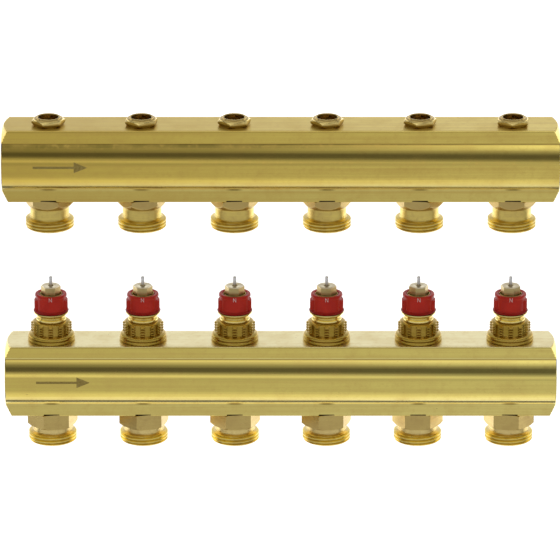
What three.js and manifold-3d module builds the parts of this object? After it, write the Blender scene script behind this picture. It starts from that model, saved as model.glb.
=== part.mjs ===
// Underfloor heating manifold for six circuits, in millimetres.
//
// Two brass bars lie one above the other. The upper bar feeds the circuits: each port has a low
// shut-off insert on top and a threaded nipple below. The lower bar collects the return water: each
// port has a presetting valve insert on top, with a red ring and a spring-loaded pin, and a nipple below.
//
// Frame: +X runs along the bars, -Y is the front, +Z is up. The origin is halfway between the bars.

import * as THREE from 'three';
import { mergeVertices } from 'three/addons/utils/BufferGeometryUtils.js';
import Module from 'manifold-3d';

const wasm = await Module();
wasm.setup();

// ---- Driving dimensions --------------------------------------------------------------------------

const circuitCount = 6;
const portPitch = 50;
const barSpacing = 122.8;
const gap = 0.3;                 // clearance between screwed-in pieces and the piece that holds them
const overshoot = 5;             // how far a cutting tool runs past the face that it cuts
const overlap = 1;               // how far joined shapes run into one another

const sides = {                  // how many flats stand for a full turn
  pin: 8,
  plain: 12,
  running: 14,                   // pieces that turn in one another
  bar: 20,
  barEnd: 32,
};

const bar = {
  length: circuitCount * portPitch,
  halfDepth: 13.5,
  halfHeight: 20,
  bulgeRadius: 18.6,             // the round front and back that stand out of the rectangle
  endFaceRadius: 18.4,           // where the turned end chamfer starts
  endChamferAngle: 30,
  endChamferReach: 10,           // long enough to run out past the bar's corners
  waterwayRadius: 14,
  socketRadius: 15.4,            // G 1 internal thread at each end
  socketDepth: 17,
  socketShoulder: 1,
  spotFaceRadius: 14.15,
  spotFaceDepth: 0.9,
};

const seat = {
  height: -14.5,                 // sealing face at the inner end of each nipple
  plugRadius: 6.2,
  plugThickness: 3,
};

const nippleThread = {           // G 3/4 male thread with a Eurocone mouth
  radius: 13.1,
  top: -32.4,
  bottom: -38.3,
  chamfer: 1.2,
  mouthRadius: 9.3,
  mouthDepth: 7,
  boreRadius: 5.5,
};

const nippleHexFlats = 24;
const nippleHexTop = -20.2;        // leaves room for a flat gasket in the spot face
const nippleShankRadius = 8;
const nippleNeckRadius = 10.5;
const supplyNipple = { hexBottom: -25.6, turns: [-8, 8, 4, 2, -8, -3] };
const returnNipple = { hexBottom: -28.7, turns: [12, 15, 9, 12, -1, -9] };

const shutoff = {
  shankRadius: 7,
  shankBottom: 11,
  hexFlats: 16,
  hexTop: 22.4,
  shoulderRadius: 7.9,
  rimRadius: 6.4,
  top: 24.2,
  boreRadius: 5.55,
  turns: [12, 21, 16, 12, 16, 25],
};

const spindle = {
  headRadius: 5.25,
  headTop: 20,
  headBottom: 12.5,
  keyFlats: 6,
  keyDepth: 5.5,
  stemRadius: 3,
  tipRadius: 1.5,
  tipLength: 2.1,
  travel: 4,
};

const valve = {
  shankRadius: 10,
  shankBottom: 10,
  baseRadius: 13,
  baseTop: 24,
  castleRadius: 11.2,
  castleGrooveRadius: 10.2,
  castleCoreRadius: 9.9,
  castleTeeth: 12,
  castleToothShare: 0.42,        // share of the pitch that a tooth takes
  castleTop: 31,
  castleChamferTop: 31.5,
  neckRadius: 7.2,
  neckTop: 33.6,
  coneRadius: 9.35,
  coneBottomEdge: 35.5,
  coneTop: 36.2,
  tubeRadius: 6.15,
  tubeTop: 46.5,
  nutRecessRadius: 5.8,
  nutRecessBottom: 43,
  stemHoleRadius: 2.4,
  springChamberRadius: 4.2,
  springChamberBottom: 12,
  springChamberTop: 34,
};

const ring = {
  bottom: 36.7,
  radius: 8.05,
  lipRadius: 9.5,
  lipHeight: 0.9,
  padRadius: 8.95,
  padBottom: 37,
  padTop: 42.8,
  padHalfAngle: 27,
  rimRadius: 8.4,
  rimBottom: 45.4,
  top: 46.6,
  topRound: 0.5,
  boreRadius: 6.5,
};

const gland = {
  hexFlats: 9.3,
  bottom: 43.3,
  top: 51,
  crownRadius: 4.1,
  crownAngle: 30,
  boreRadius: 1.35,
  turns: [-3, -3, -6, -6, 11, -14],
};

const pin = {
  radius: 1,
  top: 56.1,
  tipRadius: 0.55,
  tipLength: 0.6,
  stemRadius: 1.8,
  stemTop: 43,
  collarRadius: 3.8,
  collarBottom: 31,
  collarTop: 32,
  travel: 3,
};

const finishes = {
  supplyBar: { color: 0xb9a25a, roughness: 0.3, metalness: 1 },
  returnBar: { color: 0xc4ae6c, roughness: 0.3, metalness: 1 },
  nipple: { color: 0xb3945a, roughness: 0.35, metalness: 1 },
  insert: { color: 0xc0a468, roughness: 0.35, metalness: 1 },
  spindle: { color: 0x9c8350, roughness: 0.4, metalness: 1 },
  redPlastic: { color: 0x8a1a16, roughness: 0.35, metalness: 0 },
  gland: { color: 0xc0a468, roughness: 0.3, metalness: 1 },
  steel: { color: 0x8d8d8f, roughness: 0.25, metalness: 1 },
};

// ---- Helpers -------------------------------------------------------------------------------------

const degrees = Math.PI / 180;

/** Turns a closed three.js geometry into a solid that can be cut and joined. */
function toSolid(geometry) {
  const bare = geometry.clone();
  bare.deleteAttribute('normal');
  bare.deleteAttribute('uv');
  const merged = mergeVertices(bare, 1e-4);
  return new wasm.Manifold(new wasm.Mesh({
    numProp: 3,
    vertProperties: new Float32Array(merged.attributes.position.array),
    triVerts: new Uint32Array(merged.index.array),
  }));
}

/** Turns a solid back into a three.js geometry. */
function toGeometry(solid) {
  const mesh = solid.getMesh();
  const geometry = new THREE.BufferGeometry();
  geometry.setAttribute('position', new THREE.BufferAttribute(new Float32Array(mesh.vertProperties), 3));
  geometry.setIndex(new THREE.BufferAttribute(new Uint32Array(mesh.triVerts), 1));
  geometry.computeVertexNormals();
  return geometry;
}

/** A body turned about Z from [radius, height] points, which run upwards along the outside. */
function turned(profile, segments = sides.plain) {
  const points = profile.map(([radius, height]) => new THREE.Vector2(radius, height));
  const geometry = new THREE.LatheGeometry(points, segments);
  geometry.rotateX(Math.PI / 2);
  return toSolid(geometry);
}

/** A plain round bar about Z, used mostly as a drill. */
function round(radius, bottom, top, segments = sides.plain) {
  return turned([[0, bottom], [radius, bottom], [radius, top], [0, top]], segments);
}

/** A flat outline in X and Y, raised from bottom to top. */
function prism(shape, bottom, top) {
  const geometry = new THREE.ExtrudeGeometry(shape, {
    depth: top - bottom,
    bevelEnabled: false,
    curveSegments: 3,
  });
  geometry.translate(0, 0, bottom);
  return toSolid(geometry);
}

/** A hexagon with a flat facing the front, turned about Z by an angle in degrees. */
function hexagon(acrossFlats, turn = 0) {
  const cornerRadius = acrossFlats / 2 / Math.cos(30 * degrees);
  const shape = new THREE.Shape();
  for (let corner = 0; corner < 6; corner += 1) {
    const angle = (corner * 60 + turn) * degrees;
    const x = cornerRadius * Math.cos(angle);
    const y = cornerRadius * Math.sin(angle);
    if (corner === 0) shape.moveTo(x, y);
    else shape.lineTo(x, y);
  }
  shape.closePath();
  return shape;
}

/** A named mesh with a material of its own. */
function part(name, solid, finish) {
  const mesh = new THREE.Mesh(toGeometry(solid), new THREE.MeshStandardMaterial(finish));
  mesh.name = name;
  return mesh;
}

/** X of a port, counted from 0 at the left end. */
function portX(index) {
  return (index - (circuitCount - 1) / 2) * portPitch;
}

// ---- Bars ----------------------------------------------------------------------------------------

/** The bar's section in Y and Z: a rectangle with a round bulge in front and behind. */
function barSection() {
  const bulgeAngle = Math.acos(bar.halfDepth / bar.bulgeRadius);
  const shape = new THREE.Shape();
  shape.moveTo(bar.halfDepth, -bar.halfHeight);
  shape.absarc(0, 0, bar.bulgeRadius, -bulgeAngle, bulgeAngle, false);
  shape.lineTo(bar.halfDepth, bar.halfHeight);
  shape.lineTo(-bar.halfDepth, bar.halfHeight);
  shape.absarc(0, 0, bar.bulgeRadius, Math.PI - bulgeAngle, Math.PI + bulgeAngle, false);
  shape.lineTo(-bar.halfDepth, -bar.halfHeight);
  shape.closePath();
  return shape;
}

/** Lays a body that was made about Z along X instead. */
function alongX(solid) {
  return solid.rotate([90, 0, 90]);
}

/** A bar with its waterway, end sockets and the holes of every port. */
function manifoldBar(topHoleRadius) {
  const halfLength = bar.length / 2;
  const blankGeometry = new THREE.ExtrudeGeometry(barSection(), {
    depth: bar.length,
    bevelEnabled: false,
    curveSegments: 6,
  });
  blankGeometry.translate(0, 0, -halfLength);

  const chamferRadius = bar.endFaceRadius + bar.endChamferReach;
  const chamferDepth = bar.endChamferReach * Math.tan(bar.endChamferAngle * degrees);
  const turnedEnds = turned([
    [0, -halfLength],
    [bar.endFaceRadius, -halfLength],
    [chamferRadius, -halfLength + chamferDepth],
    [chamferRadius, halfLength - chamferDepth],
    [bar.endFaceRadius, halfLength],
    [0, halfLength],
  ], sides.barEnd);
  const socketInner = halfLength - bar.socketDepth;
  const waterway = turned([
    [0, -halfLength - overshoot],
    [bar.socketRadius, -halfLength - overshoot],
    [bar.socketRadius, -socketInner],
    [bar.waterwayRadius, -socketInner + bar.socketShoulder],
    [bar.waterwayRadius, socketInner - bar.socketShoulder],
    [bar.socketRadius, socketInner],
    [bar.socketRadius, halfLength + overshoot],
    [0, halfLength + overshoot],
  ], sides.bar);
  let solid = alongX(toSolid(blankGeometry).intersect(turnedEnds).subtract(waterway));

  const topHole = round(topHoleRadius, 0, bar.halfHeight + overshoot, sides.running);
  const bottomHole = round(nippleShankRadius + gap, -bar.halfHeight - overshoot, 0);
  const spotFaceTop = -bar.halfHeight + bar.spotFaceDepth;
  const spotFace = round(bar.spotFaceRadius, -bar.halfHeight - overshoot, spotFaceTop, sides.bar);
  for (let index = 0; index < circuitCount; index += 1) {
    for (const cutter of [topHole, bottomHole, spotFace]) {
      solid = solid.subtract(cutter.translate([portX(index), 0, 0]));
    }
  }
  return solid;
}

// ---- Nipples -------------------------------------------------------------------------------------

/** A nipple: sealing seat and shank inside the bar, then hexagon, neck, thread and Eurocone mouth. */
function nipple({ hexBottom, turns }, index) {
  const { radius, top, bottom, chamfer, mouthRadius, mouthDepth, boreRadius } = nippleThread;
  const body = turned([
    [boreRadius, bottom + mouthDepth],
    [mouthRadius, bottom],
    [radius - chamfer, bottom],
    [radius, bottom + chamfer],
    [radius, top],
    [nippleNeckRadius, top],
    [nippleNeckRadius, nippleHexTop - overlap],
    [nippleShankRadius, nippleHexTop - overlap],
    [nippleShankRadius, seat.height],
    [boreRadius, seat.height],
    [boreRadius, bottom + mouthDepth],
  ]);
  const hex = prism(hexagon(nippleHexFlats, turns[index]), hexBottom, nippleHexTop);
  const bore = round(boreRadius + gap, hexBottom - overshoot, nippleHexTop + overshoot);
  return body.add(hex.subtract(bore));
}

// ---- Shut-off inserts on the supply bar ----------------------------------------------------------

/** The hexagon collar that is screwed into the bar and carries the spindle's thread. */
function shutoffInsert(index) {
  const hexBottom = bar.halfHeight + gap;
  const body = turned([
    [shutoff.shankRadius, shutoff.shankBottom],
    [shutoff.shankRadius, hexBottom + overlap],
    [shutoff.shoulderRadius, hexBottom + overlap],
    [shutoff.shoulderRadius, shutoff.hexTop],
    [shutoff.rimRadius, shutoff.top],
    [shutoff.boreRadius, shutoff.top],
    [shutoff.boreRadius, shutoff.shankBottom],
    [shutoff.shankRadius, shutoff.shankBottom],
  ], sides.running);
  const hex = prism(hexagon(shutoff.hexFlats, shutoff.turns[index]), hexBottom, shutoff.hexTop);
  const bore = round(shutoff.boreRadius + gap, hexBottom - overshoot, shutoff.hexTop + overshoot,
    sides.running);
  return body.add(hex.subtract(bore));
}

/** Height of the underside of a plug that stands open by its travel above the seat. */
function openPlugBottom(travel) {
  return seat.height + gap + travel;
}

/** The spindle: a threaded head with a socket for a hexagon key, a stem, and a tip in the plug. */
function shutoffSpindle() {
  const stemBottom = openPlugBottom(spindle.travel) + seat.plugThickness + gap;
  const body = turned([
    [0, stemBottom - spindle.tipLength],
    [spindle.tipRadius, stemBottom - spindle.tipLength],
    [spindle.tipRadius, stemBottom],
    [spindle.stemRadius, stemBottom],
    [spindle.stemRadius, spindle.headBottom],
    [spindle.headRadius, spindle.headBottom],
    [spindle.headRadius, spindle.headTop],
    [0, spindle.headTop],
  ], sides.running);
  const keySocket = prism(hexagon(spindle.keyFlats), spindle.headTop - spindle.keyDepth,
    spindle.headTop + overshoot);
  return body.subtract(keySocket);
}

/** The plug under the spindle, with a hole for the spindle's tip. */
function shutoffPlug() {
  const bottom = openPlugBottom(spindle.travel);
  const top = bottom + seat.plugThickness;
  const tipHole = round(spindle.tipRadius + gap, top - spindle.tipLength - gap, top + overshoot);
  return round(seat.plugRadius, bottom, top).subtract(tipHole);
}

// ---- Presetting valve inserts on the return bar --------------------------------------------------

/** Outline of the castellated ring that an actuator grips. */
function castleOutline() {
  const shape = new THREE.Shape();
  const toothHalf = 180 / valve.castleTeeth * valve.castleToothShare;
  const grooveHalf = 180 / valve.castleTeeth - toothHalf;
  for (let tooth = 0; tooth < valve.castleTeeth; tooth += 1) {
    const middle = tooth * 360 / valve.castleTeeth;
    const corners = [
      [valve.castleRadius, middle - toothHalf],
      [valve.castleRadius, middle + toothHalf],
      [valve.castleGrooveRadius, middle + toothHalf],
      [valve.castleGrooveRadius, middle + toothHalf + 2 * grooveHalf],
    ];
    corners.forEach(([radius, angle], corner) => {
      const x = radius * Math.cos(angle * degrees);
      const y = radius * Math.sin(angle * degrees);
      if (tooth === 0 && corner === 0) shape.moveTo(x, y);
      else shape.lineTo(x, y);
    });
  }
  shape.closePath();
  return shape;
}

/** The valve insert's body, from the shank in the bar up to the tube that carries the red ring. */
function valveBody() {
  const outside = turned([
    [0, valve.shankBottom],
    [valve.shankRadius, valve.shankBottom],
    [valve.shankRadius, bar.halfHeight + gap],
    [valve.baseRadius, bar.halfHeight + gap],
    [valve.baseRadius, valve.baseTop],
    [valve.castleCoreRadius, valve.baseTop],
    [valve.castleCoreRadius, valve.castleChamferTop],
    [valve.neckRadius, valve.castleChamferTop],
    [valve.neckRadius, valve.neckTop],
    [valve.coneRadius, valve.coneBottomEdge],
    [valve.coneRadius, valve.coneTop],
    [valve.tubeRadius, valve.coneTop],
    [valve.tubeRadius, valve.tubeTop],
    [0, valve.tubeTop],
  ], sides.running);
  const castle = prism(castleOutline(), valve.baseTop - overlap, valve.castleTop);
  const inside = turned([
    [0, valve.shankBottom - overshoot],
    [valve.stemHoleRadius, valve.shankBottom - overshoot],
    [valve.stemHoleRadius, valve.springChamberBottom],
    [valve.springChamberRadius, valve.springChamberBottom],
    [valve.springChamberRadius, valve.springChamberTop],
    [valve.stemHoleRadius, valve.springChamberTop],
    [valve.stemHoleRadius, valve.nutRecessBottom],
    [valve.nutRecessRadius, valve.nutRecessBottom],
    [valve.nutRecessRadius, valve.tubeTop + overshoot],
    [0, valve.tubeTop + overshoot],
  ]);
  return outside.add(castle).subtract(inside);
}

/** A flat sector that becomes a grip pad on one side of the red ring. */
function padOutline(middle) {
  const shape = new THREE.Shape();
  const innerRadius = (ring.boreRadius + ring.radius) / 2;
  const start = (middle - ring.padHalfAngle) * degrees;
  const end = (middle + ring.padHalfAngle) * degrees;
  shape.moveTo(innerRadius * Math.cos(start), innerRadius * Math.sin(start));
  shape.absarc(0, 0, ring.padRadius, start, end, false);
  shape.lineTo(innerRadius * Math.cos(end), innerRadius * Math.sin(end));
  shape.closePath();
  return shape;
}

/** The red presetting ring, with a flared lip below and a grip pad on each side. */
function presetRing() {
  let solid = turned([
    [ring.boreRadius, ring.bottom],
    [ring.lipRadius, ring.bottom],
    [ring.radius, ring.bottom + ring.lipHeight],
    [ring.radius, ring.rimBottom],
    [ring.rimRadius, ring.rimBottom + ring.topRound],
    [ring.rimRadius, ring.top - ring.topRound],
    [ring.rimRadius - ring.topRound, ring.top],
    [ring.boreRadius, ring.top],
    [ring.boreRadius, ring.bottom],
  ], sides.running);
  for (const middle of [0, 180]) {
    solid = solid.add(prism(padOutline(middle), ring.padBottom, ring.padTop));
  }
  return solid;
}

/** The small gland hexagon that holds the pin's seal, with a chamfered crown. */
function glandNut(index) {
  const hex = prism(hexagon(gland.hexFlats, gland.turns[index]), gland.bottom, gland.top);
  const crownDepth = (gland.hexFlats - gland.crownRadius) * Math.tan(gland.crownAngle * degrees);
  const crown = turned([
    [0, gland.bottom],
    [gland.hexFlats, gland.bottom],
    [gland.hexFlats, gland.top - crownDepth],
    [gland.crownRadius, gland.top],
    [0, gland.top],
  ]);
  const bore = round(gland.boreRadius, gland.bottom - overshoot, gland.top + overshoot, sides.pin);
  return hex.intersect(crown).subtract(bore);
}

/** The steel pin with its stem, the collar that the return spring pushes on, and the plug. */
function valvePin() {
  const bottom = openPlugBottom(pin.travel);
  const top = bottom + seat.plugThickness;
  return turned([
    [0, bottom],
    [seat.plugRadius, bottom],
    [seat.plugRadius, top],
    [pin.stemRadius, top],
    [pin.stemRadius, pin.collarBottom],
    [pin.collarRadius, pin.collarBottom],
    [pin.collarRadius, pin.collarTop],
    [pin.stemRadius, pin.collarTop],
    [pin.stemRadius, pin.stemTop],
    [pin.radius, pin.stemTop],
    [pin.radius, pin.top - pin.tipLength],
    [pin.tipRadius, pin.top],
    [0, pin.top],
  ], sides.pin);
}

// ---- Assembly ------------------------------------------------------------------------------------

const supply = new THREE.Group();
supply.position.z = barSpacing / 2;
const supplyHole = shutoff.shankRadius + gap;
supply.add(part('supply_bar', manifoldBar(supplyHole), finishes.supplyBar));

const collector = new THREE.Group();
collector.position.z = -barSpacing / 2;
const returnHole = valve.shankRadius + gap;
collector.add(part('return_bar', manifoldBar(returnHole), finishes.returnBar));

for (let index = 0; index < circuitCount; index += 1) {
  const number = index + 1;
  const supplyPort = new THREE.Group();
  supplyPort.position.x = portX(index);
  supplyPort.add(
    part(`supply_nipple_${number}`, nipple(supplyNipple, index), finishes.nipple),
    part(`shutoff_insert_${number}`, shutoffInsert(index), finishes.insert),
    part(`shutoff_spindle_${number}`, shutoffSpindle(), finishes.spindle),
    part(`shutoff_plug_${number}`, shutoffPlug(), finishes.spindle),
  );
  supply.add(supplyPort);

  const returnPort = new THREE.Group();
  returnPort.position.x = portX(index);
  returnPort.add(
    part(`return_nipple_${number}`, nipple(returnNipple, index), finishes.nipple),
    part(`valve_body_${number}`, valveBody(), finishes.insert),
    part(`preset_ring_${number}`, presetRing(), finishes.redPlastic),
    part(`gland_nut_${number}`, glandNut(index), finishes.gland),
    part(`valve_pin_${number}`, valvePin(), finishes.steel),
  );
  collector.add(returnPort);
}

const manifold = new THREE.Group();
manifold.add(supply, collector);

export default manifold;
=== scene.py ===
"""Looks of a six-circuit underfloor heating manifold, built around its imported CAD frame.

Two drawn brass bars lie one above the other. The supply bar carries shut-off collars and the return
bar carries presetting valve inserts with red rings, and every port has a threaded nipple below.
Heights and radii in the tables are in millimetres from the axis of the bar that carries the piece.
"""

import math

import bmesh
import bpy
from mathutils import Matrix, Vector


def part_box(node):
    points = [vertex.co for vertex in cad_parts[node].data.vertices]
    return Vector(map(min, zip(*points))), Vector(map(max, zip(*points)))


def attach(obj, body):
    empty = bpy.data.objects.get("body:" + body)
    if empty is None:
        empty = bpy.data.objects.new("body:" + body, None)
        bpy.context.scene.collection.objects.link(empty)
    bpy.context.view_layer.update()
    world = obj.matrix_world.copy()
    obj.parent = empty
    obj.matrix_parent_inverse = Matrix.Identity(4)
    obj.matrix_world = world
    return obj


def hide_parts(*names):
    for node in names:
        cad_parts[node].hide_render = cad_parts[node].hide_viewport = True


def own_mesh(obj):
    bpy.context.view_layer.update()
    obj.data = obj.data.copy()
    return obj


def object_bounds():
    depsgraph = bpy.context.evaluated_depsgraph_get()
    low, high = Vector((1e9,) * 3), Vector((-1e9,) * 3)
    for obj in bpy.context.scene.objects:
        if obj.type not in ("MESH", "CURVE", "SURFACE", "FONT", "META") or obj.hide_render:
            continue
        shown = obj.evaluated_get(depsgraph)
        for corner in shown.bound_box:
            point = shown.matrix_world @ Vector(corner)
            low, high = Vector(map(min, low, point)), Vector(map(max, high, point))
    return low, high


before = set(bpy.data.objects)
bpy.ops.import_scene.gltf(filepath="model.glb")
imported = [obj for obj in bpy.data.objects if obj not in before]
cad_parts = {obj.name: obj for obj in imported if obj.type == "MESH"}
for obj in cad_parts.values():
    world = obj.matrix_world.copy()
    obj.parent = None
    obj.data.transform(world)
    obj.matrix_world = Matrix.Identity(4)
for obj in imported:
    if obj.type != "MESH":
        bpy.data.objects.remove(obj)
cad_low, cad_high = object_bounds()

MM = 0.001
TURN = 2 * math.pi
CIRCUITS = range(1, 7)
ROOT = "manifold"

# ---- Driving dimensions ------------------------------------------------------------------------

BAR = {
    "half_depth": 13.5,
    "half_height": 20.0,
    "bulge_radius": 18.6,
    "edge_radius": 0.45,
    "end_face_radius": 18.4,
    "end_chamfer_slope": math.tan(math.radians(30)),
    "waterway_radius": 14.0,
    "socket_depth": 17.0,
    "socket_crest": 15.2,
    "socket_root": 16.55,
    "socket_pitch": 2.309,
    "spot_face_radius": 14.15,
    "spot_face_depth": 0.9,
    "tone_reach": 140.0,
}
NIPPLE_THREAD = {"crest": 13.05, "root": 12.0, "pitch": 1.814, "top": -32.4, "bottom": -38.3}
NIPPLE_HEX_FLATS = 24.0
NIPPLE_NECK = 10.5
NIPPLE_BORE = 5.5
NIPPLE_SHANK = 8.0
SUPPLY_NIPPLE = {"hex_bottom": -25.6, "chamfer": (11.3, 0.9), "turns": (-8, 8, 4, 2, -8, -3)}
RETURN_NIPPLE = {"hex_bottom": -28.7, "chamfer": (12.6, 1.6), "turns": (12, 15, 9, 12, -1, -9)}
HEX_TOP = -20.2
GASKET = {"inner": 8.3, "outer": 11.4, "bottom": -20.15, "top": -19.15}
SEAT_HEIGHT = -14.5
BAR_TOP_FIT = 20.02
COLLAR = {"flats": 16.0, "bore": 5.55, "shank": 7.0, "turns": (12, 21, 16, 12, 16, 25)}
SPINDLE = {"head": 5.25, "head_top": 20.0, "head_bottom": 12.5, "key_flats": 6.0, "key_depth": 5.5}
CASTLE = {"teeth": 12, "tooth_share": 0.42, "wall": 0.06, "crest": 11.2, "groove": 10.2,
          "rung_pitch": 1.45, "rung_depth": 0.8}
VALVE = {"shank": 10.0, "bottom": 10.0}
RING = {"bore": 6.5, "radius": 8.05, "rim": 8.6, "pad_radius": 9.1, "pad_top": 43.4,
        "pad_half_angle": 27.0, "pad_flutes": 48, "swell": (44.3, 45.6), "top": 46.6}
SCALE = {"size": 3.0, "mark_size": 3.7, "height": 45.0, "step": 40.0, "highest": 7}
SPRING = {"bottom": 12.1, "top": 30.9, "radius": 2.9, "wire": 0.4, "coils": 7}
GLAND = {"flats": 9.3, "bore": 1.35, "turns": (-3, -3, -6, -6, 11, -14)}
TEXT_SLIMNESS = 0.68    # width of the ring's signs against Blender's own font
PORT_PITCH = 50.0
PIN_TRAVEL = 3.0
SPINDLE_TRAVEL = 4.0
PLUG_THICKNESS = 3.0
FIT_GAP = 0.3
CUT_OVERSHOOT = 5.0     # how far a drill runs past the face that it cuts
DRILL_END = 5.0         # how far from the bar's axis a port drill stops, inside the waterway


# ---- Places from the frame ---------------------------------------------------------------------

def middle(node):
    """Centre of a CAD node's box."""
    low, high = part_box(node)
    return (low + high) / 2


def port_place(bar_node, part_node):
    """Point on the bar's axis at the port that a CAD node belongs to."""
    return Vector((middle(part_node).x, 0.0, middle(bar_node).z))


# ---- Meshes ------------------------------------------------------------------------------------

def finish_mesh(mesh, sharp_degrees=32):
    """Smooth shading with hard edges where faces meet at more than the given angle."""
    mesh.polygons.foreach_set("use_smooth", [True] * len(mesh.polygons))
    mesh.set_sharp_from_angle(angle=math.radians(sharp_degrees))


def polar_mesh(name, rows, angles, closed=False, along_x=False):
    """A closed body about an axis, from rows of (height, radius) in millimetres.

    A radius may be a function of the angle and the height. A radius of 0 ends the body in a point,
    and a closed body joins its last row to its first, so it has a hole through it.
    """
    mesh_tool = bmesh.new()
    rings = []
    for height, radius in rows:
        if not callable(radius) and radius == 0:
            rings.append([mesh_tool.verts.new((0, 0, height * MM))])
            continue
        ring = []
        for angle in angles:
            reach = radius(angle, height) if callable(radius) else radius
            ring.append(mesh_tool.verts.new(
                (reach * math.cos(angle) * MM, reach * math.sin(angle) * MM, height * MM)))
        rings.append(ring)
    if closed:
        rings.append(rings[0])
    for low, high in zip(rings, rings[1:]):
        count = max(len(low), len(high))
        for k in range(count):
            after = (k + 1) % count
            if len(low) == 1:
                mesh_tool.faces.new((low[0], high[after], high[k]))
            elif len(high) == 1:
                mesh_tool.faces.new((low[k], low[after], high[0]))
            else:
                mesh_tool.faces.new((low[k], low[after], high[after], high[k]))
    if along_x:
        turn_to_x = Matrix(((0, 0, 1, 0), (1, 0, 0, 0), (0, 1, 0, 0), (0, 0, 0, 1)))
        bmesh.ops.transform(mesh_tool, matrix=turn_to_x, verts=mesh_tool.verts)
    bmesh.ops.recalc_face_normals(mesh_tool, faces=mesh_tool.faces)
    mesh = bpy.data.meshes.new(name)
    mesh_tool.to_mesh(mesh)
    mesh_tool.free()
    finish_mesh(mesh)
    return mesh


def even_angles(count):
    """Evenly spaced angles of a full turn."""
    return [TURN * k / count for k in range(count)]


def steps(start, end, count):
    """Evenly spaced values from start to end, both included."""
    return [start + (end - start) * k / count for k in range(count + 1)]


def hex_radius(flats):
    """Radius of a hexagon at an angle; its corners are at 0, 60 and so on."""
    sector = TURN / 6

    def radius(angle, _height):
        return flats / 2 / math.cos(angle % sector - sector / 2)
    return radius


def smaller(*radii):
    """The smallest of several radii, each a number or a function."""
    def radius(angle, height):
        return min(each(angle, height) if callable(each) else each for each in radii)
    return radius


def cone(height_at, radius_at, slope):
    """A turned chamfer: its radius grows by slope for each millimetre above a height."""
    def radius(_angle, height):
        return radius_at + slope * (height - height_at)
    return radius


def clamp(value):
    """The value, held between 0 and 1."""
    return min(1.0, max(0.0, value))


def groove(turns, steepness, land):
    """How deep a groove is after a number of turns: 0 on the crest and 1 at the root."""
    return clamp(abs(turns % 1.0 - 0.5) * steepness - land)


def thread_radius(crest, root, pitch, low, high, runout=0.5):
    """A screw thread that fades out over a short length at both ends."""
    def radius(angle, height):
        flank = groove(height / pitch - angle / TURN, 3.4, 0.6)
        fade = clamp(min(height - low, high - height) / runout)
        return crest - (crest - root) * flank * fade
    return radius


def place(name, mesh, material, where, body, slot, nodes=(), turn=0.0):
    """A piece at a port, riding on a CAD body and standing for its CAD nodes."""
    piece = bpy.data.objects.new(name, mesh)
    bpy.context.scene.collection.objects.link(piece)
    piece.location = where
    piece.rotation_euler.z = math.radians(turn)
    if not mesh.materials:
        mesh.materials.append(material)
    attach(piece, body)
    if nodes:
        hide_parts(*nodes)
    return piece


# ---- Materials ---------------------------------------------------------------------------------

class Nodes:
    """Short calls for building a node tree."""

    def __init__(self, tree):
        self.tree = tree

    def add(self, kind, **settings):
        node = self.tree.nodes.new(kind)
        for key, value in settings.items():
            setattr(node, key, value)
        return node

    def link(self, source, target):
        self.tree.links.new(source, target)

    def split(self, coordinates):
        """The X, Y and Z outputs of the named texture coordinates."""
        parts = self.add("ShaderNodeSeparateXYZ")
        self.link(self.add("ShaderNodeTexCoord").outputs[coordinates], parts.inputs[0])
        return parts.outputs

    def noise(self, vector, scale=1.0, detail=3.0, roughness=0.55):
        node = self.add("ShaderNodeTexNoise")
        node.inputs["Scale"].default_value = scale
        node.inputs["Detail"].default_value = detail
        node.inputs["Roughness"].default_value = roughness
        self.link(vector, node.inputs["Vector"])
        return node.outputs["Fac"]

    def ramp(self, value, low, high, low_out=0.0, high_out=1.0):
        node = self.add("ShaderNodeMapRange")
        values = {"From Min": low, "From Max": high, "To Min": low_out, "To Max": high_out}
        for key, number in values.items():
            node.inputs[key].default_value = number
        self.link(value, node.inputs["Value"])
        return node.outputs["Result"]

    def math(self, operation, first, second=0.0):
        node = self.add("ShaderNodeMath", operation=operation)
        for socket, value in zip(node.inputs, (first, second)):
            if isinstance(value, (int, float)):
                socket.default_value = value
            else:
                self.link(value, socket)
        return node.outputs[0]

    def mix(self, factor, first, second):
        node = self.add("ShaderNodeMix", data_type="RGBA")
        self.link(factor, node.inputs["Factor"])
        for socket, value in ((node.inputs["A"], first), (node.inputs["B"], second)):
            if isinstance(value, tuple):
                socket.default_value = (*value, 1.0)
            else:
                self.link(value, socket)
        return node.outputs["Result"]


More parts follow.
